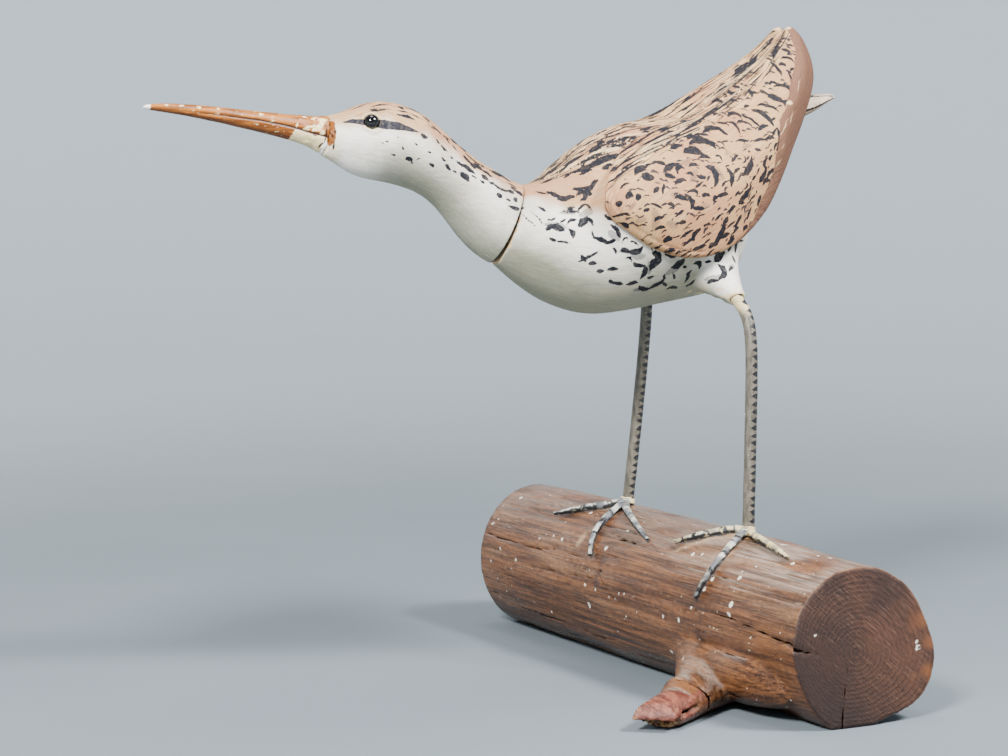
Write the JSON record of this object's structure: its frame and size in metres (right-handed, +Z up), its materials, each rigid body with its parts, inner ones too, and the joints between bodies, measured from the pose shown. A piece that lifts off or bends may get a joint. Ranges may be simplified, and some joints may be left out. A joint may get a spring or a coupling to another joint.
{
  "type": "shorebird decoy on a log",
  "caption": "Carved and painted wooden shorebird decoy with a long bill, stretched neck and raised wing tips, standing on rod legs across a short weathered log.",
  "frame": {"origin": "on the log's flat underside, below the middle of the log", "axes": "+Z up, the bird faces -X, the log lies along Y with the bird's left side toward -Y"},
  "size_m": [0.4257, 0.3643, 0.3696],
  "materials": {
    "log_wood": "weathered brown wood with a dull polish, cracks and paint flecks",
    "body_paint": "satin off-white paint with dark plumage marks, buff on the back",
    "head_paint": "satin paint, buff crown over off-white, with a dark eye stripe",
    "bill_paint": "warm brown satin paint, chipped to wood and cream at the base",
    "wing_paint": "buff satin paint with blue-black crescents and a brown rear edge",
    "eye_glass": "glossy black, not see-through",
    "leg_paint": "grey tan paint with dark ticks",
    "toe_paint": "grey blue paint with black bars, worn pale in places; what is under the paint is not shown"
  },
  "bodies": {
    "root": {"log": "log_wood", "body": "body_paint", "head_and_neck": "head_paint", "bill": "bill_paint", "left_eye": "eye_glass", "right_eye": "eye_glass", "left_wing": "wing_paint", "right_wing": "wing_paint", "left_leg": "leg_paint", "right_leg": "leg_paint", "left_foot": "toe_paint", "right_foot": "toe_paint"}
  },
  "joints": []
}
